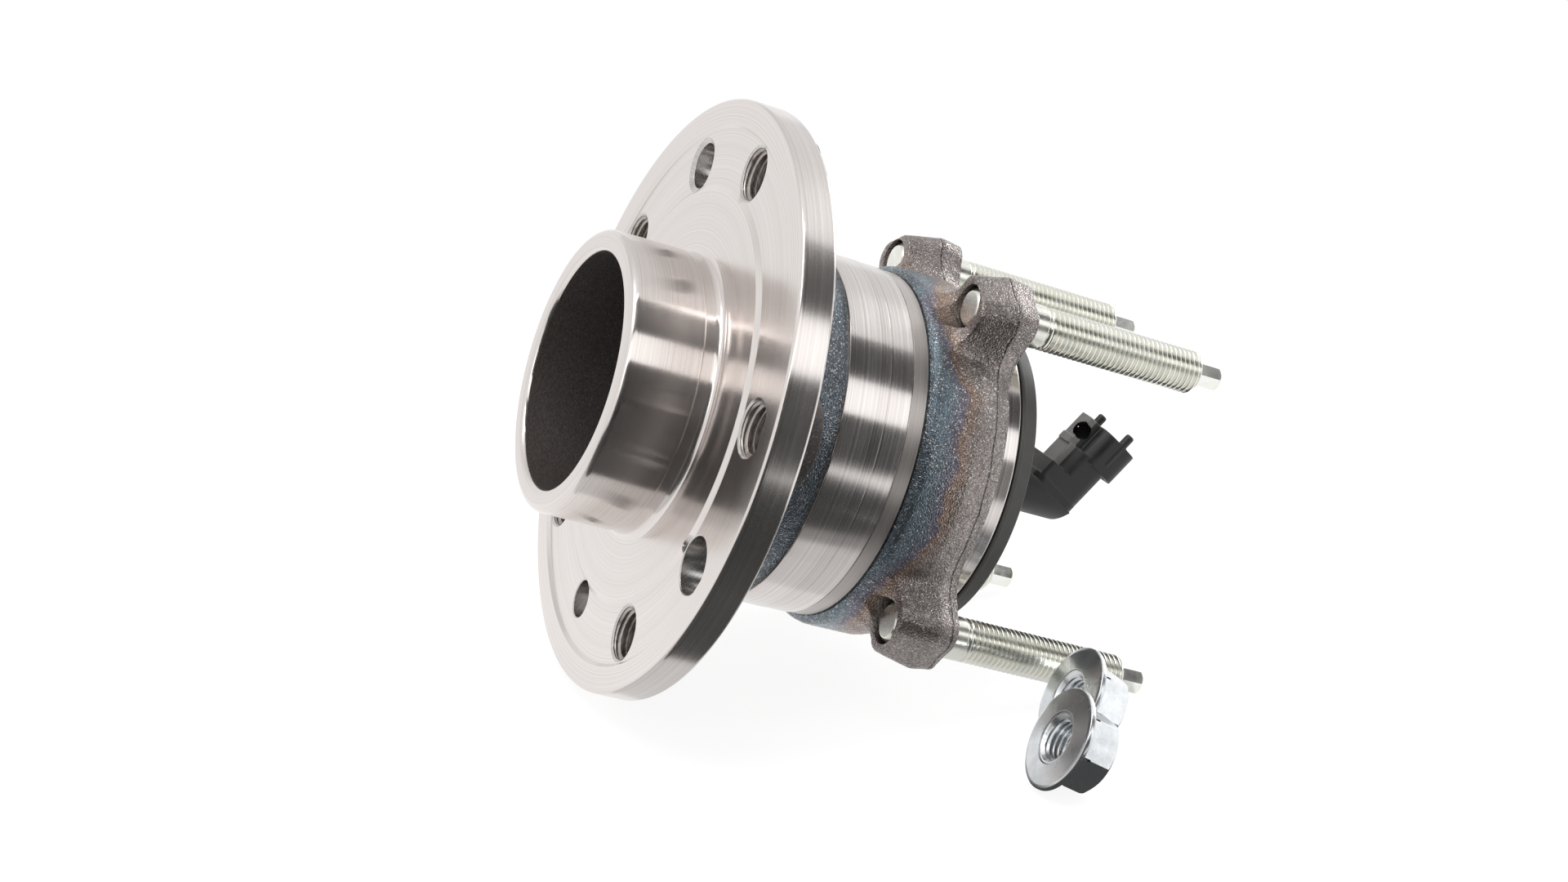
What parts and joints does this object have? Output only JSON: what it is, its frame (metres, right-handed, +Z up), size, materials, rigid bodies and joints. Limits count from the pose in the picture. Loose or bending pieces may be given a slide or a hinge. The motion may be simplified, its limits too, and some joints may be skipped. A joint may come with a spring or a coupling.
{
  "type": "wheel hub bearing",
  "caption": "Flanged wheel hub turning in a double-row ball bearing, whose forged housing carries studs for the axle and a capped speed sensor with its connector.",
  "frame": {"origin": "on the spin axis at the wheel-mounting face of the hub's flange", "axes": "+Y along the spin axis towards the axle side, with the studs; -Y is the wheel side, with the nose; +Z is up, midway between the upper pair of studs; +X to the right seen from the wheel side"},
  "size_m": [0.1618, 0.1428, 0.1372],
  "materials": {
    "hub_steel": "turned steel with fine circular tool marks",
    "bearing_steel": "ground and honed bearing steel",
    "forged_steel": "forged, sparkly scale with heat tint, machined bands",
    "zinc_yellow": "zinc plated, faint yellow green tint",
    "zinc_white": "zinc plated, bluish white",
    "pressed_steel": "pressed sheet steel",
    "black_plastic": "glass-filled black plastic, satin",
    "cage_plastic": "natural polyamide",
    "seal_rubber": "black nitrile rubber",
    "magnet_rubber": "magnetised rubber",
    "contact_metal": "tinned brass"
  },
  "bodies": {
    "housing": {"outer_ring": "forged_steel", "stud_upper_left": "zinc_yellow", "stud_upper_right": "zinc_yellow", "stud_lower_left": "zinc_yellow", "stud_lower_right": "zinc_yellow", "seal_case": "pressed_steel", "seal_lips": "seal_rubber", "sensor_cap": "black_plastic", "cap_o_ring": "seal_rubber", "sensor_element": "black_plastic", "connector_pin_left": "contact_metal", "connector_pin_right": "contact_metal", "nut_1": "zinc_white", "nut_2": "zinc_white"},
    "hub": {"hub": "hub_steel", "inner_race": "bearing_steel", "seal_slinger": "pressed_steel", "encoder_carrier": "pressed_steel", "encoder_ring": "magnet_rubber"},
    "outboard_row": {"outboard_balls": "bearing_steel", "outboard_cage": "cage_plastic"},
    "inboard_row": {"inboard_balls": "bearing_steel", "inboard_cage": "cage_plastic"},
    "nut_1_washer": {"nut_1_washer": "zinc_white"},
    "nut_2_washer": {"nut_2_washer": "zinc_white"}
  },
  "joints": [
    {"name": "hub_spin", "type": "hinge", "parent": "housing", "child": "hub", "pos_m": [0, 0, 0], "axis": [0, 1, 0], "continuous": true},
    {"name": "outboard_row_orbit", "type": "hinge", "parent": "housing", "child": "outboard_row", "pos_m": [0, 0.027, 0], "axis": [0, 1, 0], "continuous": true},
    {"name": "inboard_row_orbit", "type": "hinge", "parent": "housing", "child": "inboard_row", "pos_m": [0, 0.047, 0], "axis": [0, 1, 0], "continuous": true},
    {"name": "nut_1_washer_spin", "type": "hinge", "parent": "housing", "child": "nut_1_washer", "pos_m": [0.0815, 0.0788, -0.0342], "axis": [-0.045, -0.9828, 0.179], "continuous": true},
    {"name": "nut_2_washer_spin", "type": "hinge", "parent": "housing", "child": "nut_2_washer", "pos_m": [0.0576, 0.0923, -0.0308], "axis": [-0.045, -0.9828, 0.179], "continuous": true}
  ],
  "couplings": [
    {"joint": "outboard_row_orbit", "follows": "hub_spin", "ratio": 0.41783},
    {"joint": "inboard_row_orbit", "follows": "hub_spin", "ratio": 0.41783}
  ]
}
